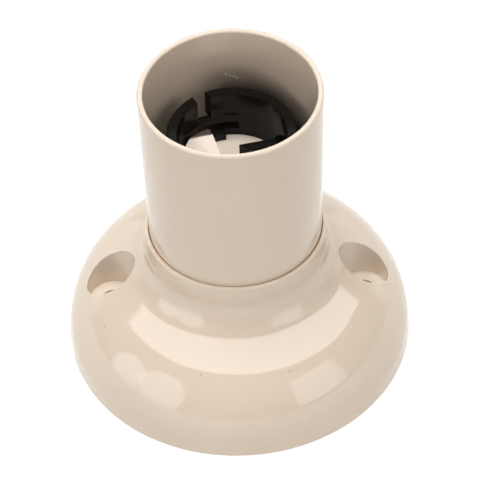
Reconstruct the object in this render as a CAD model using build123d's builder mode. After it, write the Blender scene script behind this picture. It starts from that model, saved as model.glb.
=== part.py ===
from build123d import *
import os
from math import acos, atan2, cos, degrees, hypot, radians, sin

os.makedirs("parts", exist_ok=True)

# Batten lamp holder for a 22 mm bayonet cap lamp. The flat back lies on z = 0, the lamp
# enters from +Z, and the two fixing wells lie on the X axis.

# Base dome, turned about Z: a foot, a convex shoulder, a cone, a concave throat and a collar.
# curve_share is the two arcs' radii together, where 1 would leave no cone between them, and
# throat_share is the throat's part of that
base_radius = 37.75
foot_height = 1.46
curve_share = 0.9703
throat_share = 0.2963
seam_height = 32.8
collar_height = 5.25
collar_depth = 6.3
collar_wall = 0.92
collar_edge = 0.2
dome_wall = 2.2
dome_rib_thickness = 1.6
dome_rib_underside = 13.0
dome_rib_count = 8

# Fixing wells, one each side. Their place and radius are shares of the width from the collar
# to the dome's edge
well_place_share = 0.4408
well_radius_share = 0.303
well_floor_height = 9.2
well_floor_thickness = 2.5
well_wall = 1.5
fixing_hole_radius = 2.75

# Knock-outs for a surface cable, thinned from inside at the front and the back
knockout_width = 9.0
knockout_height = 7.0
knockout_skin = 0.9

# Lamp tube, which stands in the collar on a ledge
tube_rim_radius = 19.0
tube_taper = 0.42
tube_top = 71.36
tube_rim_wall = 1.24
tube_rim_round = 0.5
tube_bore_draft = 0.35
collar_fit = 0.1
ledge_thickness = 2.5
ledge_width = 3.0
deck_depth = 23.86
deck_thickness = 2.4

# Screws that hold the tube to the base. Each boss runs into the tube's wall, and its screw goes
# up this share of the boss
tube_screw_radius = 1.4
tube_screw_share = 0.51
tube_boss_wall = 1.5
tube_boss_overlap = 0.4
lug_wall = 2.3

# Bayonet sleeve and its J slots. bore_share gives its bore from the tube's bore at the deck.
# The bore guides the cap down to guide_depth and is relieved below that
bore_share = 0.6462
guide_depth = 6.8
guide_relief = 0.25
sleeve_wall = 2.25
sleeve_height = 12.2
sleeve_edge = 0.3
slot_width = 3.1
slot_azimuth = 120.0
seat_azimuth = 90.0
slot_ledge_depth = 10.3
slot_passage_height = 4.1
seat_notch_height = 0.6
pad_depth = 1.2
pad_height = 1.9
pad_azimuth = 97.0
pad_sweep = 14.0

# Screws that hold the sleeve and the terminal block to the deck, in ears that stay clear of
# the tube's bore
sleeve_screw_azimuth = 60.0
sleeve_screw_radius = 1.15
sleeve_screw_depth = 3.6
sleeve_ear_wall = 1.2
sleeve_ear_height = 4.2
sleeve_ear_clearance = 0.56
block_ear_thickness = 2.0

# Leaf contacts. Each lies in a frame turned by contact_turn, where along runs from its root to
# its tip and across is positive towards the middle of the bore. contact_swing is the room that
# a contact needs inside the bore when it is pressed. Shares are of the bore's radius
contact_turn = 11.0
contact_thickness = 0.4
contact_bend = 0.8
contact_corner = 0.6
contact_gap = 0.35
contact_swing = 0.75
root_rise = 0.7
crest_rise = 4.9
tip_drop = 0.9
root_along_share = -0.418
root_left_share = -0.782
root_right_share = -0.444
tail_share = 0.08
blade_left_share = -0.818
blade_right_share = -0.116
blade_shoulder_share = 0.551
crest_along_share = 0.649
crest_left_share = -0.667
crest_right_share = -0.24
tip_along_share = 0.889
tip_left_share = -0.604
tip_right_share = -0.258

# Bridge of the sleeve over each contact's root, with a slanted foot that stands on the deck
bridge_height = 2.6
bridge_depth = 0.85
bridge_overhang = 0.2
bridge_lift = 0.5
bridge_end_share = -0.222
bridge_slant_share = 0.169

# Brass posts that carry the contacts, and the tunnel terminals that they stand on. Shares are
# of the bore's radius, so that the terminals stay under the posts
post_inset = 0.1
post_thickness = 0.8
post_clearance = 0.1
terminal_pitch_x_share = 1.067
terminal_pitch_y_share = 0.782
terminal_side_share = 0.498
terminal_height = 14.0
terminal_edge = 0.3
tunnel_radius = 1.8
tunnel_rise = 4.0

# Terminal block
pocket_fit = 0.1
block_wall = 1.1
block_corner = 1.5
block_core_width = 3.2
block_core_length = 12.0
block_core_depth = 10.0
wire_hole_radius = 2.1

# Screws in general
screw_fit = 0.05
terminal_screw_radius = 1.5
terminal_screw_length = 5.4
terminal_head_radius = 2.3
terminal_head_height = 1.6
fixing_head_overhang = 1.1
fixing_head_height = 1.7
screw_slot_width = 0.7
screw_slot_depth = 0.7

# Worked out from the sizes above: the tube, the collar around it and the dome
tube_seam_radius = tube_rim_radius - tube_taper
tube_slope = tube_taper / (tube_top - seam_height)
tube_rim_bore = tube_rim_radius - tube_rim_wall
deck_bore = tube_rim_bore - tube_bore_draft
deck_top = tube_top - deck_depth
deck_underside = deck_top - deck_thickness
ledge_top = seam_height - collar_depth
ledge_underside = ledge_top - ledge_thickness
tube_foot_radius = tube_rim_radius - tube_slope * (tube_top - ledge_top)
tube_screw_offset = deck_bore - tube_screw_radius - tube_boss_wall + tube_boss_overlap
tube_screw_depth = tube_screw_share * (deck_underside - ledge_top)
collar_radius = tube_seam_radius + collar_fit + collar_wall
collar_root_height = seam_height - collar_height
skirt_width = base_radius - collar_radius
skirt_rise = collar_root_height - foot_height
curve_radii = curve_share * (skirt_width**2 + skirt_rise**2) / (2 * skirt_width)
throat_radius = throat_share * curve_radii
shoulder_radius = curve_radii - throat_radius
fixing_centres = 2 * (collar_radius + well_place_share * skirt_width)
well_radius = well_radius_share * skirt_width

# Worked out: the sleeve, the contacts and the bridges over their roots
bore_radius = bore_share * deck_bore
sleeve_radius = bore_radius + sleeve_wall
sleeve_middle_radius = bore_radius + sleeve_wall / 2
pad_middle_radius = (bore_radius - pad_depth + sleeve_middle_radius) / 2
sleeve_top = deck_top + sleeve_height
sleeve_ear_radius = sleeve_screw_radius + sleeve_ear_wall
sleeve_screw_offset = deck_bore - sleeve_ear_clearance - sleeve_ear_radius
slot_ledge_height = sleeve_top - slot_ledge_depth
slot_half_angle = degrees(slot_width / 2 / sleeve_middle_radius)
root_height = deck_top + root_rise
root_along = root_along_share * bore_radius
root_left = root_left_share * bore_radius
root_right = root_right_share * bore_radius
root_middle = (root_left + root_right) / 2
tail_along = root_along - tail_share * bore_radius
blade_left = blade_left_share * bore_radius
blade_right = blade_right_share * bore_radius
blade_shoulder_along = blade_shoulder_share * bore_radius
crest_height = deck_top + crest_rise
crest_along = crest_along_share * bore_radius
crest_left = crest_left_share * bore_radius
crest_right = crest_right_share * bore_radius
tip_along = tip_along_share * bore_radius
tip_left = tip_left_share * bore_radius
tip_right = tip_right_share * bore_radius
bridge_front = root_along + bridge_overhang
bridge_back = bridge_front - bridge_depth
bridge_foot_slant = bridge_slant_share * bore_radius
bridge_foot_front = bridge_back + bridge_foot_slant
bridge_underside = root_height + contact_thickness / 2 + bridge_lift
bridge_side = root_right + contact_gap
bridge_end = bridge_end_share * bore_radius

# Worked out: the posts, the terminals and their block
post_width = root_right - root_left - 2 * post_inset
post_along = tail_along + post_thickness / 2
post_top = root_height - contact_thickness / 2 - post_clearance
terminal_side = terminal_side_share * bore_radius
terminal_pitch_x = terminal_pitch_x_share * bore_radius
terminal_pitch_y = terminal_pitch_y_share * bore_radius
terminal_foot = deck_underside - terminal_height
tunnel_height = terminal_foot + tunnel_rise
block_half_x = terminal_pitch_x / 2 + terminal_side / 2 + block_wall
block_half_y = terminal_pitch_y / 2 + terminal_side / 2 + block_wall
terminals = {
    "left": (-terminal_pitch_x / 2, -terminal_pitch_y / 2),
    "right": (terminal_pitch_x / 2, terminal_pitch_y / 2),
    "loop": (terminal_pitch_x / 2, -terminal_pitch_y / 2),
    "earth": (-terminal_pitch_x / 2, terminal_pitch_y / 2),
}


def dome_body(inset):
    """Solid of revolution inside the dome's skin, moved inward by inset."""
    shoulder_centre = (base_radius - shoulder_radius, foot_height)
    throat_centre = (collar_radius + throat_radius, collar_root_height)
    run = throat_centre[0] - shoulder_centre[0]
    rise = throat_centre[1] - shoulder_centre[1]
    turn = atan2(rise, run) - acos((shoulder_radius + throat_radius) / hypot(run, rise))
    convex = shoulder_radius - inset
    concave = throat_radius + inset
    cone_foot = (shoulder_centre[0] + convex * cos(turn), shoulder_centre[1] + convex * sin(turn))
    cone_head = (throat_centre[0] - concave * cos(turn), throat_centre[1] - concave * sin(turn))
    with BuildPart() as body:
        with BuildSketch(Plane.XZ):
            with BuildLine():
                Polyline((0, 0), (base_radius - inset, 0), (base_radius - inset, foot_height))
                CenterArc(shoulder_centre, convex, 0, degrees(turn))
                Line(cone_foot, cone_head)
                CenterArc(throat_centre, concave, 180 + degrees(turn), -degrees(turn))
                Polyline(
                    (collar_radius - inset, collar_root_height),
                    (collar_radius - inset, seam_height),
                    (0, seam_height),
                    (0, 0),
                )
            make_face()
        revolve(axis=Axis.Z)
    return body.part


def turned(angle, height=0):
    """Level plane, turned about Z."""
    return Plane.XY.offset(height).rotated((0, 0, angle))


def upright(angle):
    """Plane that stands on the Z axis, with its own x pointing out at this azimuth."""
    out = Vector(cos(radians(angle)), sin(radians(angle)), 0)
    return Plane(origin=(0, 0, 0), x_dir=out, z_dir=out.cross(Vector(0, 0, 1)))


def screw(radius, length, head_radius, head_height):
    """Slotted screw that points up, with the underside of its head on z = 0."""
    with BuildPart() as body:
        with BuildSketch():
            Circle(radius)
        extrude(amount=length)
        chamfer(body.edges().group_by(Axis.Z)[-1], radius / 3)
        with BuildSketch():
            Circle(head_radius)
        extrude(amount=-head_height)
        fillet(body.faces().sort_by(Axis.Z)[0].edges(), head_height / 4)
        with BuildSketch(Plane.XY.offset(-head_height)):
            Rectangle(2 * head_radius, screw_slot_width)
        extrude(amount=screw_slot_depth, mode=Mode.SUBTRACT)
    return body.part


# Hollow under the dome: the skin moved in by its wall, less the ledge, lugs, ribs and wells
with BuildPart() as hollow:
    add(dome_body(dome_wall))
    with BuildSketch(Plane.XY.offset(ledge_top)):
        Circle(base_radius)
    extrude(amount=seam_height, mode=Mode.SUBTRACT)
    with BuildSketch(Plane.XY.offset(ledge_underside)):
        Circle(base_radius)
        Circle(tube_foot_radius - ledge_width, mode=Mode.SUBTRACT)
        with GridLocations(0, 2 * tube_screw_offset, 1, 2):
            Circle(tube_screw_radius + lug_wall)
    extrude(amount=ledge_thickness, mode=Mode.SUBTRACT)
    with BuildSketch(Plane.XY.offset(dome_rib_underside)):
        with PolarLocations((tube_foot_radius + base_radius) / 2, dome_rib_count, 180 / dome_rib_count):
            Rectangle(base_radius - tube_foot_radius, dome_rib_thickness)
    extrude(amount=seam_height, mode=Mode.SUBTRACT)
    with BuildSketch():
        with GridLocations(fixing_centres, 0, 2, 1):
            Circle(well_radius + well_wall)
    extrude(amount=seam_height, mode=Mode.SUBTRACT)

# Knock-outs: a band across the foot, cut back to a thin skin at each end
with BuildPart() as knockouts:
    add(dome_body(knockout_skin))
    with BuildSketch():
        Rectangle(knockout_width, 2 * base_radius)
    extrude(amount=knockout_height, mode=Mode.INTERSECT)

# Base dome, one moulding with its collar, wells, ledge, lugs and ribs
with BuildPart() as base_dome:
    add(dome_body(0))
    add(hollow.part, mode=Mode.SUBTRACT)
    with BuildSketch(Plane.XY.offset(ledge_top)):
        Circle(tube_seam_radius + collar_fit)
    extrude(amount=seam_height, mode=Mode.SUBTRACT)
    fillet(base_dome.faces().sort_by(Axis.Z)[-1].edges(), collar_edge)
    with BuildSketch(Plane.XY.offset(well_floor_height)):
        with GridLocations(fixing_centres, 0, 2, 1):
            Circle(well_radius)
    extrude(amount=seam_height, mode=Mode.SUBTRACT)
    with BuildSketch():
        with GridLocations(fixing_centres, 0, 2, 1):
            Circle(well_radius)
    extrude(amount=well_floor_height - well_floor_thickness, mode=Mode.SUBTRACT)
    with BuildSketch():
        with GridLocations(fixing_centres, 0, 2, 1):
            Circle(fixing_hole_radius)
    extrude(amount=well_floor_height, mode=Mode.SUBTRACT)
    with BuildSketch():
        with GridLocations(0, 2 * tube_screw_offset, 1, 2):
            Circle(tube_screw_radius + screw_fit)
    extrude(amount=ledge_top, mode=Mode.SUBTRACT)
    add(knockouts.part, mode=Mode.SUBTRACT)
base_dome.part.label = "base_dome"
export_step(base_dome.part, "parts/base_dome.step")

# Lamp tube, one moulding: a long tapered skirt, a deck across it and two screw bosses
with BuildPart() as lamp_tube:
    with BuildSketch(Plane.XZ):
        Polygon((0, ledge_top), (tube_foot_radius, ledge_top), (tube_rim_radius, tube_top), (0, tube_top), align=None)
    revolve(axis=Axis.Z)
    with BuildSketch(Plane.XZ):
        Polygon((0, deck_top), (deck_bore, deck_top), (tube_rim_bore, tube_top), (0, tube_top), align=None)
    revolve(axis=Axis.Z, mode=Mode.SUBTRACT)
    fillet(lamp_tube.faces().sort_by(Axis.Z)[-1].edges(), tube_rim_round)
    with BuildSketch(Plane.XY.offset(ledge_top)):
        Circle(deck_bore)
        with GridLocations(0, 2 * tube_screw_offset, 1, 2):
            Circle(tube_screw_radius + tube_boss_wall, mode=Mode.SUBTRACT)
    extrude(amount=deck_underside - ledge_top, mode=Mode.SUBTRACT)
    with BuildSketch(Plane.XY.offset(ledge_top)):
        with GridLocations(0, 2 * tube_screw_offset, 1, 2):
            Circle(tube_screw_radius + screw_fit)
    extrude(amount=tube_screw_depth + screw_fit, mode=Mode.SUBTRACT)
    with BuildSketch(Plane.XY.offset(deck_underside)):
        with PolarLocations(sleeve_screw_offset, 2, sleeve_screw_azimuth):
            Circle(sleeve_screw_radius + screw_fit)
    extrude(amount=deck_thickness, mode=Mode.SUBTRACT)
    for half_turn in (0, 180):
        with BuildSketch(turned(contact_turn + half_turn, deck_underside)):
            with Locations((root_middle, post_along)):
                Rectangle(post_width + 2 * post_clearance, post_thickness + 2 * post_clearance)
        extrude(amount=deck_thickness, mode=Mode.SUBTRACT)
lamp_tube.part.label = "lamp_tube"
export_step(lamp_tube.part, "parts/lamp_tube.step")

# Bayonet sleeve, one black moulding: a bore with two J slots, a screw ear by each slot, and
# inside it two pads and two bridges that hold the contacts down
with BuildPart() as bayonet_sleeve:
    with BuildSketch(Plane.XY.offset(deck_top)):
        Circle(sleeve_radius)
        Circle(bore_radius, mode=Mode.SUBTRACT)
    extrude(amount=sleeve_height)
    chamfer(bayonet_sleeve.faces().sort_by(Axis.Z)[-1].edges(), sleeve_edge)
    with BuildSketch(Plane.XY.offset(deck_top)):
        Circle(bore_radius + guide_relief)
    extrude(amount=sleeve_height - guide_depth, mode=Mode.SUBTRACT)
    with BuildSketch(Plane.XY.offset(deck_top)):
        with PolarLocations(sleeve_screw_offset, 2, sleeve_screw_azimuth):
            Circle(sleeve_ear_radius)
        with PolarLocations((sleeve_middle_radius + sleeve_screw_offset) / 2, 2, sleeve_screw_azimuth):
            Rectangle(sleeve_screw_offset - sleeve_middle_radius, 2 * sleeve_ear_radius)
        Circle(bore_radius, mode=Mode.SUBTRACT)
    extrude(amount=sleeve_ear_height)
    for half_turn in (0, 180):
        # J slot: the way in from the top, the passage round to the seat, and the seat's notch
        with BuildSketch(turned(slot_azimuth + half_turn, slot_ledge_height)):
            with Locations((sleeve_middle_radius, 0)):
                Rectangle(2 * sleeve_wall, slot_width)
        extrude(amount=slot_ledge_depth, mode=Mode.SUBTRACT)
        with BuildSketch(upright(seat_azimuth - slot_half_angle + half_turn)):
            with Locations((sleeve_middle_radius, slot_ledge_height + slot_passage_height / 2)):
                Rectangle(2 * sleeve_wall, slot_passage_height)
        revolve(axis=Axis.Z, revolution_arc=slot_azimuth - seat_azimuth + slot_half_angle, mode=Mode.SUBTRACT)
        with BuildSketch(turned(seat_azimuth + half_turn, slot_ledge_height)):
            with Locations((sleeve_middle_radius, 0)):
                Rectangle(2 * sleeve_wall, slot_width)
        extrude(amount=slot_passage_height + seat_notch_height, mode=Mode.SUBTRACT)
        # Pad on the foot of the bore
        with BuildSketch(upright(pad_azimuth + half_turn)):
            with Locations((pad_middle_radius, deck_top + pad_height / 2)):
                Rectangle(2 * (sleeve_middle_radius - pad_middle_radius), pad_height)
        revolve(axis=Axis.Z, revolution_arc=pad_sweep)
        # Bridge over the contact's root
        with BuildSketch(turned(contact_turn + half_turn, deck_top)):
            Circle(sleeve_middle_radius)
            Polygon(
                (-sleeve_radius, bridge_back),
                (bridge_end, bridge_back),
                (bridge_end - bridge_foot_slant, bridge_foot_front),
                (bridge_side, bridge_foot_front),
                (bridge_side, bridge_front),
                (-sleeve_radius, bridge_front),
                align=None,
                mode=Mode.INTERSECT,
            )
        extrude(amount=bridge_height)
        with BuildSketch(turned(contact_turn + half_turn, deck_top)):
            with Locations((root_middle, (bridge_front + bridge_back) / 2)):
                Rectangle(root_right - root_left + 2 * contact_gap, 2 * bridge_depth)
        extrude(amount=bridge_underside - deck_top, mode=Mode.SUBTRACT)
    with BuildSketch(Plane.XY.offset(deck_top)):
        with PolarLocations(sleeve_screw_offset, 2, sleeve_screw_azimuth):
            Circle(sleeve_screw_radius + screw_fit)
    extrude(amount=sleeve_ear_height, mode=Mode.SUBTRACT)
bayonet_sleeve.part.label = "bayonet_sleeve"
export_step(bayonet_sleeve.part, "parts/bayonet_sleeve.step")

# Leaf contacts, each a folded strip that rises from its root to a crest and dips at its tip,
# and the brass post under each root
for side, half_turn in (("left", 0), ("right", 180)):
    frame = turned(contact_turn + half_turn)
    with BuildPart() as contact:
        with BuildSketch(Plane(origin=(0, 0, 0), x_dir=frame.y_dir, z_dir=frame.x_dir)):
            with BuildLine():
                strip = FilletPolyline(
                    (tail_along, root_height),
                    (root_along, root_height),
                    (crest_along, crest_height),
                    (tip_along, crest_height - tip_drop),
                    radius=contact_bend,
                )
                offset(strip, contact_thickness / 2, side=Side.BOTH, mode=Mode.REPLACE)
            make_face()
        extrude(amount=sleeve_radius, both=True)
        with BuildSketch(turned(contact_turn + half_turn, deck_top)):
            with BuildLine():
                FilletPolyline(
                    (root_right, tail_along),
                    (root_right, bridge_foot_front + contact_gap),
                    (blade_right, bridge_foot_front + contact_gap),
                    (crest_right, crest_along),
                    (tip_right, tip_along),
                    (tip_left, tip_along),
                    (crest_left, crest_along),
                    (blade_left, blade_shoulder_along),
                    (root_left, bridge_foot_front + contact_gap),
                    (root_left, tail_along),
                    radius=contact_corner,
                    close=True,
                )
            make_face()
            Circle(bore_radius - contact_swing, mode=Mode.INTERSECT)
        extrude(amount=sleeve_height, mode=Mode.INTERSECT)
    contact.part.label = f"contact_{side}"
    export_step(contact.part, f"parts/contact_{side}.step")

    with BuildPart() as contact_post:
        with BuildSketch(turned(contact_turn + half_turn, deck_underside)):
            with Locations((root_middle, post_along)):
                Rectangle(post_width, post_thickness)
        extrude(amount=post_top - deck_underside)
    contact_post.part.label = f"contact_post_{side}"
    export_step(contact_post.part, f"parts/contact_post_{side}.step")

# Terminal block, one black moulding with four pockets, open below and closed by the deck
with BuildPart() as terminal_block:
    with BuildSketch(Plane.XY.offset(terminal_foot)):
        RectangleRounded(2 * block_half_x, 2 * block_half_y, block_corner)
    extrude(amount=terminal_height)
    with BuildSketch(Plane.XY.offset(deck_underside)):
        with PolarLocations(sleeve_screw_offset, 2, sleeve_screw_azimuth, rotate=False) as ears:
            Circle(sleeve_ear_radius)
        for ear in ears.locations:
            with Locations((ear.position.X, ear.position.Y / 2)):
                Rectangle(2 * sleeve_ear_radius, abs(ear.position.Y))
    extrude(amount=-block_ear_thickness)
    with BuildSketch(Plane.XY.offset(terminal_foot)):
        with Locations(*terminals.values()):
            Rectangle(terminal_side + 2 * pocket_fit, terminal_side + 2 * pocket_fit)
    extrude(amount=terminal_height, mode=Mode.SUBTRACT)
    with BuildSketch(Plane.XY.offset(terminal_foot)):
        Rectangle(block_core_width, block_core_length)
    extrude(amount=block_core_depth, mode=Mode.SUBTRACT)
    with BuildSketch(Plane.XY.offset(deck_underside)):
        with PolarLocations(sleeve_screw_offset, 2, sleeve_screw_azimuth):
            Circle(sleeve_screw_radius + screw_fit)
    extrude(amount=-block_ear_thickness, mode=Mode.SUBTRACT)
    for face_side in (-1, 1):
        with BuildSketch(Plane.YZ.offset(face_side * block_half_x)):
            with Locations((-terminal_pitch_y / 2, tunnel_height), (terminal_pitch_y / 2, tunnel_height)):
                Circle(wire_hole_radius)
        extrude(amount=-face_side * (block_wall + pocket_fit), mode=Mode.SUBTRACT)
terminal_block.part.label = "terminal_block"
export_step(terminal_block.part, "parts/terminal_block.step")

# Brass tunnel terminals, each with a cross hole for the wires and a screw from below
for name, (x, y) in terminals.items():
    with BuildPart() as terminal:
        with BuildSketch(Plane.XY.offset(terminal_foot)):
            with Locations((x, y)):
                Rectangle(terminal_side, terminal_side)
        extrude(amount=terminal_height)
        chamfer(terminal.edges().filter_by(Axis.Z), terminal_edge)
        with BuildSketch(Plane.YZ.offset(x - terminal_side / 2)):
            with Locations((y, tunnel_height)):
                Circle(tunnel_radius)
        extrude(amount=terminal_side, mode=Mode.SUBTRACT)
        with BuildSketch(Plane.XY.offset(terminal_foot)):
            with Locations((x, y)):
                Circle(terminal_screw_radius + screw_fit)
        extrude(amount=tunnel_rise, mode=Mode.SUBTRACT)
    terminal.part.label = f"terminal_{name}"
    export_step(terminal.part, f"parts/terminal_{name}.step")

    screw_head_height = tunnel_height - tunnel_radius - screw_fit - terminal_screw_length
    with BuildPart() as terminal_screw:
        with Locations((x, y, screw_head_height)):
            add(screw(terminal_screw_radius, terminal_screw_length, terminal_head_radius, terminal_head_height))
    terminal_screw.part.label = f"terminal_screw_{name}"
    export_step(terminal_screw.part, f"parts/terminal_screw_{name}.step")

# Screws from the base up into the tube's bosses
tube_screw = screw(
    tube_screw_radius,
    ledge_thickness + tube_screw_depth,
    tube_screw_radius + fixing_head_overhang,
    fixing_head_height,
)
for side, y in (("front", -tube_screw_offset), ("back", tube_screw_offset)):
    with BuildPart() as tube_fixing:
        with Locations((0, y, ledge_underside)):
            add(tube_screw)
    tube_fixing.part.label = f"tube_screw_{side}"
    export_step(tube_fixing.part, f"parts/tube_screw_{side}.step")

# Screws through the terminal block and the deck into the sleeve's ears
sleeve_screw = screw(
    sleeve_screw_radius,
    block_ear_thickness + deck_thickness + sleeve_screw_depth,
    sleeve_screw_radius + fixing_head_overhang,
    fixing_head_height,
)
for side, azimuth in (("front", sleeve_screw_azimuth + 180), ("back", sleeve_screw_azimuth)):
    reach_x = sleeve_screw_offset * cos(radians(azimuth))
    reach_y = sleeve_screw_offset * sin(radians(azimuth))
    with BuildPart() as sleeve_fixing:
        with Locations((reach_x, reach_y, deck_underside - block_ear_thickness)):
            add(sleeve_screw)
    sleeve_fixing.part.label = f"sleeve_screw_{side}"
    export_step(sleeve_fixing.part, f"parts/sleeve_screw_{side}.step")
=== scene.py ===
import bpy
from math import cos, pi, radians, sin, tan
from mathutils import Matrix, Vector

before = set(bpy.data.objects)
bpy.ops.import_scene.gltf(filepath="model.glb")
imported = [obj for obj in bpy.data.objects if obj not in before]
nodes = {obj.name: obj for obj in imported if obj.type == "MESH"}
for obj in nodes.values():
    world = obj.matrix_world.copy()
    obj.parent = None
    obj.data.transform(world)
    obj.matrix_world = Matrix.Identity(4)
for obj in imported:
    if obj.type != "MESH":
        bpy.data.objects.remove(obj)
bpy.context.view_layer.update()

# Base dome: one moulding in cream plastic, glossy from a polished mould, with its collar and the
# two fixing wells. It screws flat to the ceiling batten and carries everything else.
# The wells are painted a paler, less yellow cream, painted light that eases the shade in them,
# and four small brown specks lie on its front.
cream = (0.79, 0.652, 0.515, 1.0)
cream_deep = (0.765, 0.627, 0.49, 1.0)
cream_speck = (0.16, 0.10, 0.06, 1.0)
# Paler cream painted in the wells: painted light against the shade there.
well_painted_light = (0.87, 0.77, 0.66, 1.0)
speck_brown = (0.50, 0.40, 0.30, 1.0)
softened_edge = 0.00015
well_middle = (0.0276, 0.0, 0.0)
well_outside = 0.00568
well_inside = 0.00556
speck_core = 0.0001
speck_edge = 0.00028
dome_specks = (
    (-0.00854, -0.02879, 0.01669),
    (0.01022, -0.02861, 0.01639),
    (-0.02915, -0.01291, 0.01519),
    (-0.02336, -0.01564, 0.01795),
)
flat = (1.0, 1.0, 0.0)


def feed(tree, value, socket):
    """Links an output to a socket, or sets the socket to a plain value."""
    if isinstance(value, bpy.types.NodeSocket):
        tree.links.new(value, socket)
    else:
        socket.default_value = value


def maths(tree, operation, *values):
    """Result of one sum on outputs or plain numbers."""
    made = tree.nodes.new("ShaderNodeMath")
    made.operation = operation
    for slot, value in enumerate(values):
        feed(tree, value, made.inputs[slot])
    return made.outputs["Value"]


def times(tree, *masks):
    """Product of masks."""
    product = masks[0]
    for mask in masks[1:]:
        product = maths(tree, "MULTIPLY", product, mask)
    return product


def vector_maths(tree, operation, result, *values):
    """Result of one sum on vectors, which is a Vector or a Value."""
    made = tree.nodes.new("ShaderNodeVectorMath")
    made.operation = operation
    for slot, value in enumerate(values):
        feed(tree, value, made.inputs[slot])
    return made.outputs[result]


def ramp(tree, source, start, end, low=0.0, high=1.0):
    """Mask that goes from low at start to high at end."""
    made = tree.nodes.new("ShaderNodeMapRange")
    made.inputs["From Min"].default_value = start
    made.inputs["From Max"].default_value = end
    made.inputs["To Min"].default_value = low
    made.inputs["To Max"].default_value = high
    tree.links.new(source, made.inputs["Value"])
    return made.outputs["Result"]


def blend(tree, before, over, share):
    """One colour mixed over another, by a share from 0 to 1."""
    made = tree.nodes.new("ShaderNodeMix")
    made.data_type = "RGBA"
    feed(tree, share, made.inputs["Factor"])
    feed(tree, before, made.inputs["A"])
    feed(tree, over, made.inputs["B"])
    return made.outputs["Result"]


def place_on(tree):
    """Place on the piece, in metres."""
    return tree.nodes.new("ShaderNodeTexCoord").outputs["Object"]


def noise(tree, place, scale, detail, roughness=0.5):
    """Cloudy value from 0 to 1."""
    made = tree.nodes.new("ShaderNodeTexNoise")
    made.inputs["Detail"].default_value = detail
    made.inputs["Roughness"].default_value = roughness
    feed(tree, scale, made.inputs["Scale"])
    tree.links.new(place, made.inputs["Vector"])
    return made.outputs["Fac"]


def effect(name, colours, vectors, numbers):
    """New node group that takes these inputs and gives a colour, a roughness and a height."""
    group = bpy.data.node_groups.new(name, "ShaderNodeTree")
    for kind, taken in (("Color", colours), ("Vector", vectors), ("Float", numbers)):
        for socket in taken:
            group.interface.new_socket(socket, in_out="INPUT", socket_type=f"NodeSocket{kind}")
    for socket, kind in (("Colour", "Color"), ("Roughness", "Float"), ("Height", "Float")):
        group.interface.new_socket(socket, in_out="OUTPUT", socket_type=f"NodeSocket{kind}")
    return group


def moulded_skin_group():
    """Node group for moulded plastic: a faint mottle, rare specks and the mould's orange peel."""
    mottle_low, mottle_high = 0.3, 0.7
    speck_cells = 170.0
    speck_inner, speck_outer = 0.05, 0.11
    speck_rarity = 0.93
    haze_size = 95.0
    peel_size = 420.0
    group = effect(
        "moulded_skin",
        colours=("Colour", "Deep colour", "Speck colour"),
        vectors=(),
        numbers=("Mottle size", "Specks", "Gloss", "Gloss change"),
    )
    taken = group.nodes.new("NodeGroupInput").outputs
    given = group.nodes.new("NodeGroupOutput").inputs
    place = place_on(group)
    mottle = noise(group, place, taken["Mottle size"], detail=4.0, roughness=0.6)
    mottled = ramp(group, mottle, mottle_low, mottle_high)
    tone = blend(group, taken["Colour"], taken["Deep colour"], mottled)
    grains = group.nodes.new("ShaderNodeTexVoronoi")
    grains.inputs["Scale"].default_value = speck_cells
    group.links.new(place, grains.inputs["Vector"])
    near = ramp(group, grains.outputs["Distance"], speck_inner, speck_outer, 1.0, 0.0)
    chance = group.nodes.new("ShaderNodeSeparateColor")
    group.links.new(grains.outputs["Color"], chance.inputs["Color"])
    chosen = maths(group, "GREATER_THAN", chance.outputs["Red"], speck_rarity)
    dots = times(group, near, chosen, taken["Specks"])
    group.links.new(blend(group, tone, taken["Speck colour"], dots), given["Colour"])
    haze = noise(group, place, haze_size, detail=3.0)
    gloss = maths(group, "MULTIPLY_ADD", haze, taken["Gloss change"], taken["Gloss"])
    group.links.new(gloss, given["Roughness"])
    group.links.new(noise(group, place, peel_size, detail=2.0), given["Height"])
    return group


def surface(name, group, values, settings, relief, edge=None):
    """Material from a node group's colour, roughness and height; edge softens the corners' look."""
    made = bpy.data.materials.new(name)
    made.use_nodes = True
    tree = made.node_tree
    shader = tree.nodes["Principled BSDF"]
    skin = tree.nodes.new("ShaderNodeGroup")
    skin.node_tree = group
    for socket, value in values.items():
        skin.inputs[socket].default_value = value
    for socket, value in settings.items():
        shader.inputs[socket].default_value = value
    bump = tree.nodes.new("ShaderNodeBump")
    bump.inputs["Strength"].default_value = 1.0
    bump.inputs["Distance"].default_value = relief
    if edge is not None:
        eased = tree.nodes.new("ShaderNodeBevel")
        eased.inputs["Radius"].default_value = edge
        tree.links.new(eased.outputs["Normal"], bump.inputs["Normal"])
    tree.links.new(skin.outputs["Colour"], shader.inputs["Base Color"])
    tree.links.new(skin.outputs["Roughness"], shader.inputs["Roughness"])
    tree.links.new(skin.outputs["Height"], bump.inputs["Height"])
    tree.links.new(bump.outputs["Normal"], shader.inputs["Normal"])
    return made


def marks_at(tree, places, core, edge):
    """Mask of small marks: 1 within core of any place, 0 beyond edge, with a ragged outline."""
    ragged_size = 1400.0
    ragged_mean = 0.5
    here = place_on(tree)
    ragged = noise(tree, here, ragged_size, detail=2.0)
    mask = 0.0
    for place in places:
        away = vector_maths(tree, "DISTANCE", "Value", here, place)
        frayed = maths(tree, "MULTIPLY_ADD", ragged, edge, away)
        spot = ramp(tree, frayed, edge * (1 + ragged_mean), edge * ragged_mean + core)
        mask = maths(tree, "MAXIMUM", mask, spot)
    return mask


def dress(node, material):
    """Gives a carried-over CAD node this material all over."""
    for slot in nodes[node].material_slots:
        slot.material = material


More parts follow.
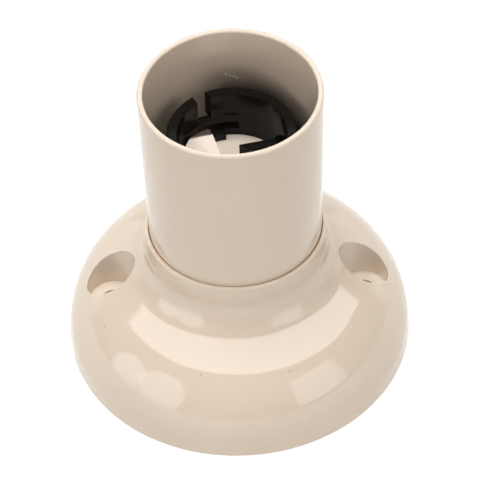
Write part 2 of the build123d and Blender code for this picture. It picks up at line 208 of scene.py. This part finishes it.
moulded_skin = moulded_skin_group()
cream_moulding = surface(
    "cream_moulding",
    moulded_skin,
    {
        "Colour": cream,
        "Deep colour": cream_deep,
        "Speck colour": cream_speck,
        "Mottle size": 45.0,
        "Specks": 0.35,
        "Gloss": 0.045,
        "Gloss change": 0.035,
    },
    {"IOR": 1.6, "Specular IOR Level": 0.5},
    relief=0.000003,
    edge=softened_edge,
)
dome_moulding = cream_moulding.copy()
dome_moulding.name = "dome_moulding"
dome_tree = dome_moulding.node_tree
dome_halves = vector_maths(dome_tree, "ABSOLUTE", "Vector", place_on(dome_tree))
dome_flat = vector_maths(dome_tree, "MULTIPLY", "Vector", dome_halves, flat)
off_well = vector_maths(dome_tree, "DISTANCE", "Value", dome_flat, well_middle)
# Painted light: the wells take the paler cream, to ease their shade.
in_well_painted_light = ramp(dome_tree, off_well, well_outside, well_inside)
dome_colour = blend(dome_tree, dome_tree.nodes["Group"].outputs["Colour"], well_painted_light, in_well_painted_light)
dome_marks = marks_at(dome_tree, dome_specks, speck_core, speck_edge)
dome_colour = blend(dome_tree, dome_colour, speck_brown, dome_marks)
dome_tree.links.new(dome_colour, dome_tree.nodes["Principled BSDF"].inputs["Base Color"])
dress("base_dome", dome_moulding)

# Lamp tube: the long tapered skirt, one moulding in the same cream plastic with the deck across
# it. It stands in the dome's collar, and two screws from behind hold it there. Its bore and deck
# are painted a paler cream, painted light for the inside of the tube. The gap round the sleeve
# and the wall behind it, reaching higher at the back and less on the left, are painted near
# black-brown and made matt: a painted shadow where the light does not reach.
# Near black-brown: a painted shadow in the gap round the sleeve and on the wall behind it.
painted_shade_brown = (0.015, 0.011, 0.008, 1.0)
# Paler cream: painted light on the deck and, in part, on the bore's wall.
painted_light_cream = (0.93, 0.80, 0.665, 1.0)
mark_white = (0.93, 0.86, 0.78, 1.0)
few_specks = 0.1
painted_light_wall = 0.55
bore_wall = 0.0178
bore_skin = 0.0184
sleeve_side = 0.0118
sleeve_skin = 0.0126
# Where the painted shadow lies: below a slanted level that stands higher at the back, uneven in clouds,
# less on the left.
painted_shade_slant = (0.0, -0.6, 1.0)
painted_shade_top = 0.0520
painted_shade_full = 0.0440
painted_shade_most = 0.97
painted_shade_dull = 0.5
painted_shade_cloud_size = 160.0
painted_shade_thin = -1.2
painted_shade_thick = 0.5
less_shade_left_from = -0.0010
less_shade_left_to = -0.0065
less_shade_left_share = 0.72
deck_skin = 0.0490
painted_shade_deck_top = 0.0482
mark_core = 0.0001
mark_edge = 0.0004
gate_mark = (
    (-0.00068, 0.01749, 0.05953),
    (0.0001, 0.0175, 0.0591),
    (0.0009, 0.01748, 0.0587),
    (0.0016, 0.01743, 0.05828),
)
# Three pale cream marks in a short arc on the bore's back right, below the rim.
pale_arc_marks = (
    (0.01474, 0.00944, 0.06326),
    (0.01548, 0.00815, 0.06215),
    (0.01603, 0.00701, 0.0612),
)
tube_moulding = cream_moulding.copy()
tube_moulding.name = "tube_moulding"
tube_tree = tube_moulding.node_tree
tube_skin = tube_tree.nodes["Group"]
tube_shader = tube_tree.nodes["Principled BSDF"]
tube_skin.inputs["Specks"].default_value = few_specks
tube_place = place_on(tube_tree)
tube_axes = tube_tree.nodes.new("ShaderNodeSeparateXYZ")
tube_tree.links.new(tube_place, tube_axes.inputs["Vector"])
slanted = vector_maths(tube_tree, "DOT_PRODUCT", "Value", tube_place, painted_shade_slant)
tube_flat = vector_maths(tube_tree, "MULTIPLY", "Vector", tube_place, flat)
from_axis = vector_maths(tube_tree, "LENGTH", "Value", tube_flat)
inside_wall = ramp(tube_tree, from_axis, bore_skin, bore_wall)
outside_sleeve = ramp(tube_tree, from_axis, sleeve_side, sleeve_skin)
in_gap = times(tube_tree, inside_wall, outside_sleeve)
# Painted shadow: dark brown in the gap round the sleeve, deepest low down and at the back.
painted_shade_depth = ramp(tube_tree, slanted, painted_shade_top, painted_shade_full)
painted_shade_cloud = noise(tube_tree, tube_place, painted_shade_cloud_size, detail=5.0)
painted_shade_uneven = ramp(tube_tree, painted_shade_cloud, painted_shade_thin, painted_shade_thick)
less_shade_left = ramp(tube_tree, tube_axes.outputs["X"], less_shade_left_from, less_shade_left_to)
painted_shade_kept = maths(tube_tree, "MULTIPLY_ADD", less_shade_left, -less_shade_left_share, 1.0)
painted_shade_wall = times(tube_tree, painted_shade_depth, painted_shade_uneven, painted_shade_kept, painted_shade_most)
painted_shade_deck = ramp(tube_tree, tube_axes.outputs["Z"], deck_skin, painted_shade_deck_top)
painted_shade = times(tube_tree, maths(tube_tree, "MAXIMUM", painted_shade_wall, painted_shade_deck), in_gap)
# Painted light: the paler cream, full on the deck inside the sleeve and partly on the bore's wall.
painted_light_floor = ramp(tube_tree, from_axis, sleeve_skin, sleeve_side)
painted_light_share = maths(tube_tree, "MAXIMUM", painted_light_floor, times(tube_tree, inside_wall, painted_light_wall))
tube_colour = blend(tube_tree, tube_skin.outputs["Colour"], painted_light_cream, painted_light_share)
tube_colour = blend(tube_tree, tube_colour, painted_shade_brown, painted_shade)
tube_marks = marks_at(tube_tree, gate_mark + pale_arc_marks, mark_core, mark_edge)
tube_colour = blend(tube_tree, tube_colour, mark_white, tube_marks)
tube_tree.links.new(tube_colour, tube_shader.inputs["Base Color"])
# The painted shadow's area is also made matt.
painted_shade_matt = times(tube_tree, painted_shade_wall, in_gap)
dulled = maths(tube_tree, "MULTIPLY_ADD", painted_shade_matt, painted_shade_dull, tube_skin.outputs["Roughness"])
tube_tree.links.new(dulled, tube_shader.inputs["Roughness"])
dress("lamp_tube", tube_moulding)

# Bayonet sleeve: a black phenolic moulding on the deck, with the J slots for the cap's pins and
# the bridges that hold the contacts' roots down. Its rim is duller than its sides. The terminal
# block below is the same material.
black = (0.0092, 0.0078, 0.0066, 1.0)
black_deep = (0.0125, 0.0108, 0.009, 1.0)
black_speck = (0.10, 0.085, 0.07, 1.0)
side_gloss = 0.34
rim_gloss = 0.08
rim_below = 0.0592
rim_face = 0.0596
black_moulding = surface(
    "black_moulding",
    moulded_skin,
    {
        "Colour": black,
        "Deep colour": black_deep,
        "Speck colour": black_speck,
        "Mottle size": 120.0,
        "Specks": 0.5,
        "Gloss": 0.08,
        "Gloss change": 0.08,
    },
    {"IOR": 1.5, "Specular IOR Level": 0.16},
    relief=0.000008,
    edge=softened_edge,
)
dress("terminal_block", black_moulding)
sleeve_moulding = black_moulding.copy()
sleeve_moulding.name = "sleeve_moulding"
sleeve_tree = sleeve_moulding.node_tree
sleeve_shader = sleeve_tree.nodes["Principled BSDF"]
sleeve_shader.inputs["Specular IOR Level"].default_value = 0.0
sleeve_shader.inputs["Coat Roughness"].default_value = 0.12
sleeve_axes = sleeve_tree.nodes.new("ShaderNodeSeparateXYZ")
sleeve_tree.links.new(place_on(sleeve_tree), sleeve_axes.inputs["Vector"])
polish = ramp(sleeve_tree, sleeve_axes.outputs["Z"], rim_below, rim_face, side_gloss, rim_gloss)
sleeve_tree.links.new(polish, sleeve_shader.inputs["Coat Weight"])
dress("bayonet_sleeve", sleeve_moulding)

# Leaf contacts: two folded strips of plated phosphor bronze, pressed from sheet, bright on the
# blades and browned at the tips beyond the crest. They spring back up when the cap leaves.
strip_bright = (0.48, 0.41, 0.36, 1.0)
strip_tarnish = (0.36, 0.29, 0.235, 1.0)
tip_brown = (0.23, 0.185, 0.15, 1.0)
strip_turn = radians(11.0)
tip_start = 0.0075
tip_full = 0.0079
tip_dull = 0.3


def drawn_metal_group():
    """Node group for drawn and turned metal: fine marks along one way, tarnish in patches."""
    patch_low, patch_high = 0.42, 0.68
    tarnish_dull = 0.35
    group = effect(
        "drawn_metal",
        colours=("Colour", "Tarnish"),
        vectors=("Stretch",),
        numbers=("Marks", "Patches", "Tarnished", "Gloss"),
    )
    taken = group.nodes.new("NodeGroupInput").outputs
    given = group.nodes.new("NodeGroupOutput").inputs
    place = place_on(group)
    stretched = vector_maths(group, "MULTIPLY", "Vector", place, taken["Stretch"])
    patches = noise(group, place, taken["Patches"], detail=6.0, roughness=0.65)
    patchy = ramp(group, patches, patch_low, patch_high)
    amount = times(group, patchy, taken["Tarnished"])
    group.links.new(blend(group, taken["Colour"], taken["Tarnish"], amount), given["Colour"])
    dull = maths(group, "MULTIPLY_ADD", amount, tarnish_dull, taken["Gloss"])
    group.links.new(dull, given["Roughness"])
    group.links.new(noise(group, stretched, taken["Marks"], detail=5.0), given["Height"])
    return group


drawn_metal = drawn_metal_group()
bright_strip = surface(
    "bright_strip",
    drawn_metal,
    {
        "Colour": strip_bright,
        "Tarnish": strip_tarnish,
        "Stretch": (1.0, 0.12, 1.0),
        "Marks": 1400.0,
        "Patches": 240.0,
        "Tarnished": 0.35,
        "Gloss": 0.38,
    },
    {"Metallic": 1.0},
    relief=0.000004,
)
strip_tree = bright_strip.node_tree
strip_skin = strip_tree.nodes["Group"]
strip_shader = strip_tree.nodes["Principled BSDF"]
strip_way = (-sin(strip_turn), cos(strip_turn), 0.0)
along = vector_maths(strip_tree, "DOT_PRODUCT", "Value", place_on(strip_tree), strip_way)
past_crest = ramp(strip_tree, maths(strip_tree, "ABSOLUTE", along), tip_start, tip_full)
strip_colour = blend(strip_tree, strip_skin.outputs["Colour"], tip_brown, past_crest)
strip_tree.links.new(strip_colour, strip_shader.inputs["Base Color"])
dull_tip = maths(strip_tree, "MULTIPLY_ADD", past_crest, tip_dull, strip_skin.outputs["Roughness"])
strip_tree.links.new(dull_tip, strip_shader.inputs["Roughness"])
for side in ("left", "right"):
    dress(f"contact_{side}", bright_strip)

# Contact posts and tunnel terminals: plain brass, drawn bar cut to length, which carry the
# current from the wires to the leaf contacts.
bar_brass = surface(
    "bar_brass",
    drawn_metal,
    {
        "Colour": (0.72, 0.52, 0.24, 1.0),
        "Tarnish": (0.42, 0.27, 0.11, 1.0),
        "Stretch": (1.0, 1.0, 0.1),
        "Marks": 1200.0,
        "Patches": 160.0,
        "Tarnished": 0.5,
        "Gloss": 0.24,
    },
    {"Metallic": 1.0},
    relief=0.000006,
)
for side in ("left", "right"):
    dress(f"contact_post_{side}", bar_brass)
for place in ("left", "right", "loop", "earth"):
    dress(f"terminal_{place}", bar_brass)

# Terminal screws: turned brass, one in each terminal, driven from behind the base on to the
# end of the wire.
turned_brass = surface(
    "turned_brass",
    drawn_metal,
    {
        "Colour": (0.80, 0.61, 0.31, 1.0),
        "Tarnish": (0.48, 0.32, 0.14, 1.0),
        "Stretch": (1.0, 1.0, 0.2),
        "Marks": 1600.0,
        "Patches": 200.0,
        "Tarnished": 0.45,
        "Gloss": 0.2,
    },
    {"Metallic": 1.0},
    relief=0.000005,
)
for place in ("left", "right", "loop", "earth"):
    dress(f"terminal_screw_{place}", turned_brass)

# Fixing screws: zinc-plated steel. Two hold the tube to the base, and two hold the sleeve and the
# terminal block to the deck.
zinc_plate = surface(
    "zinc_plate",
    drawn_metal,
    {
        "Colour": (0.62, 0.62, 0.60, 1.0),
        "Tarnish": (0.36, 0.35, 0.33, 1.0),
        "Stretch": (1.0, 1.0, 1.0),
        "Marks": 900.0,
        "Patches": 300.0,
        "Tarnished": 0.6,
        "Gloss": 0.3,
    },
    {"Metallic": 1.0},
    relief=0.000006,
)
for side in ("front", "back"):
    dress(f"tube_screw_{side}", zinc_plate)
    dress(f"sleeve_screw_{side}", zinc_plate)

# Floor: a pale matt sheet a hair under the base, laid flat. It shows white to the camera, keeps
# the soft shadow round the base, and is open from below so that the underside can be seen.
floor_half = 3.0
floor_drop = 0.0001
floor_grey = (0.72, 0.72, 0.71, 1.0)
white = (1.0, 1.0, 1.0, 1.0)
glow_near = 0.45
glow_rise = 0.7
glow_rise_from = 0.3
glow_rise_to = 0.9
floor_mesh = bpy.data.meshes.new("floor")
floor_corners = [(x * floor_half, y * floor_half, 0.0) for x, y in ((-1, -1), (1, -1), (1, 1), (-1, 1))]
floor_mesh.from_pydata(floor_corners, [], [(0, 1, 2, 3)])
floor = bpy.data.objects.new("floor", floor_mesh)
floor.location.z = -floor_drop
bpy.context.scene.collection.objects.link(floor)
floor_paper = bpy.data.materials.new("floor_paper")
floor_paper.use_nodes = True
paper = floor_paper.node_tree
paper.nodes.clear()


def layered(tree, share, under, over):
    """Shader that turns from one to another by a share from 0 to 1."""
    made = tree.nodes.new("ShaderNodeMixShader")
    tree.links.new(share, made.inputs["Fac"])
    tree.links.new(under, made.inputs[1])
    tree.links.new(over, made.inputs[2])
    return made.outputs["Shader"]


matt = paper.nodes.new("ShaderNodeBsdfDiffuse")
matt.inputs["Color"].default_value = floor_grey
seen = paper.nodes.new("ShaderNodeLightPath")
from_base = vector_maths(paper, "LENGTH", "Value", place_on(paper))
far_off = ramp(paper, from_base, glow_rise_from, glow_rise_to)
far_seen = times(paper, far_off, seen.outputs["Is Camera Ray"])
glow = paper.nodes.new("ShaderNodeEmission")
glow.inputs["Color"].default_value = white
feed(paper, maths(paper, "MULTIPLY_ADD", far_seen, glow_rise, glow_near), glow.inputs["Strength"])
glowing = paper.nodes.new("ShaderNodeAddShader")
paper.links.new(matt.outputs["BSDF"], glowing.inputs[0])
paper.links.new(glow.outputs["Emission"], glowing.inputs[1])
shown = maths(paper, "MAXIMUM", seen.outputs["Is Camera Ray"], seen.outputs["Is Glossy Ray"])
top_face = layered(paper, shown, matt.outputs["BSDF"], glowing.outputs["Shader"])
side_seen = paper.nodes.new("ShaderNodeNewGeometry")
open_below = paper.nodes.new("ShaderNodeBsdfTransparent")
one_sided = layered(paper, side_seen.outputs["Backfacing"], top_face, open_below.outputs["BSDF"])
paper_out = paper.nodes.new("ShaderNodeOutputMaterial")
paper.links.new(one_sided, paper_out.inputs["Surface"])
floor_mesh.materials.append(floor_paper)

# Room: walls of soft grey light all round, a little brighter in the gloss, and plain white behind
# the object for the camera.
wall_light = 0.15
gloss_rise = 0.25
room = bpy.data.worlds.new("room")
bpy.context.scene.world = room
room.use_nodes = True
walls = room.node_tree
walls.nodes.clear()
eye = walls.nodes.new("ShaderNodeLightPath")
in_gloss = maths(walls, "MULTIPLY_ADD", eye.outputs["Is Glossy Ray"], gloss_rise, wall_light)
soft = walls.nodes.new("ShaderNodeBackground")
soft.inputs["Color"].default_value = white
feed(walls, maths(walls, "MAXIMUM", in_gloss, eye.outputs["Is Camera Ray"]), soft.inputs["Strength"])
walls_out = walls.nodes.new("ShaderNodeOutputWorld")
walls.links.new(soft.outputs["Background"], walls_out.inputs["Surface"])

# Lamps: a box overhead, a box low on each side in front and a backdrop, with cards that only the
# gloss shows: the bright ceiling, two umbrellas on the left and a window on the right. Each is a
# flat sheet of even light.
ceiling = 1.0
card_reach = 0.9
backdrop_reach = 1.3


def card(name, place, right, up, width, height, radiance, lights, shows):
    """Flat card of light, given by its centre and the two ways it spreads; right times up is its back."""
    lamp = bpy.data.lights.new(name, "AREA")
    lamp.shape = "RECTANGLE"
    lamp.size = width
    lamp.size_y = height
    lamp.energy = radiance * pi * width * height
    sheet = bpy.data.objects.new(name, lamp)
    bpy.context.scene.collection.objects.link(sheet)
    across = Vector(right).normalized()
    rise = Vector(up).normalized()
    turn = Matrix((across, rise, across.cross(rise))).transposed().to_4x4()
    sheet.matrix_world = Matrix.Translation(Vector(place)) @ turn
    sheet.visible_diffuse = lights
    sheet.visible_glossy = shows
    sheet.visible_camera = False
    return lamp


def side_card(name, azimuth, spread, low, high, radiance, reach=card_reach, lights=True, shows=True):
    """Upright card that fills the given band of directions, seen from the object."""
    turn = radians(azimuth)
    out = Vector((cos(turn), sin(turn), 0.0))
    across = Vector((0, 0, 1)).cross(out)
    bottom = reach * tan(radians(low))
    top = reach * tan(radians(high))
    place = out * reach + Vector((0, 0, (bottom + top) / 2))
    width = 2 * reach * tan(radians(spread / 2))
    return card(name, place, across, (0, 0, 1), width, top - bottom, radiance, lights, shows)


card(
    "overhead_light",
    place=(-0.05, -0.01, ceiling),
    right=(1, 0, 0),
    up=(0, 1, 0),
    width=0.4,
    height=0.4,
    radiance=13.3,
    lights=True,
    shows=False,
)
bright_ceiling = card(
    "bright_ceiling",
    place=(0.05, 1.1, ceiling),
    right=(1, 0, 0),
    up=(0, 1, 0),
    width=2.7,
    height=3.4,
    radiance=2.3,
    lights=False,
    shows=True,
)
bright_ceiling.shape = "ELLIPSE"
side_card("left_box", azimuth=-148.0, spread=52.0, low=2.0, high=35.0, radiance=1.75, shows=False)
side_card("right_box", azimuth=-43.5, spread=35.0, low=2.0, high=38.0, radiance=2.15, shows=False)
left_umbrella = side_card(
    "left_umbrella", azimuth=-165.0, spread=22.0, low=-8.0, high=31.0, radiance=1.5, lights=False
)
left_umbrella.shape = "ELLIPSE"
near_umbrella = side_card(
    "near_umbrella", azimuth=-141.0, spread=30.0, low=-8.0, high=38.0, radiance=1.5, lights=False
)
near_umbrella.shape = "ELLIPSE"
side_card("right_window", azimuth=-41.0, spread=33.0, low=4.0, high=38.0, radiance=1.6, lights=False)
side_card(
    "backdrop", azimuth=90.0, spread=130.0, low=1.0, high=32.0, radiance=0.9, reach=backdrop_reach
)

# Camera: the photograph's place and angle, above the front and looking down into the tube. It was
# fitted to the rim, the seam and the outline, and it leans a little to one side.
lens_px = 2326.0
frame_px = 480.0
sensor = 36.0
near_limit = 0.01
pitch = radians(47.35)
pan = radians(0.14)
roll = radians(-2.21)
camera_place = Vector((0.0, -0.3400, 0.3959))
ahead = Vector((sin(pan) * cos(pitch), cos(pan) * cos(pitch), -sin(pitch)))
level = ahead.cross(Vector((0, 0, 1))).normalized()
over = level.cross(ahead)
rightward = cos(roll) * level + sin(roll) * over
upward = -sin(roll) * level + cos(roll) * over
camera_turn = Matrix((rightward, upward, -ahead)).transposed().to_4x4()
eye_data = bpy.data.cameras.new("camera")
eye_data.sensor_width = sensor
eye_data.sensor_fit = "HORIZONTAL"
eye_data.lens = lens_px / frame_px * sensor
eye_data.clip_start = near_limit
camera = bpy.data.objects.new("camera", eye_data)
bpy.context.scene.collection.objects.link(camera)
camera.matrix_world = Matrix.Translation(camera_place) @ camera_turn
bpy.context.scene.camera = camera
bpy.context.scene.view_settings.view_transform = "Standard"
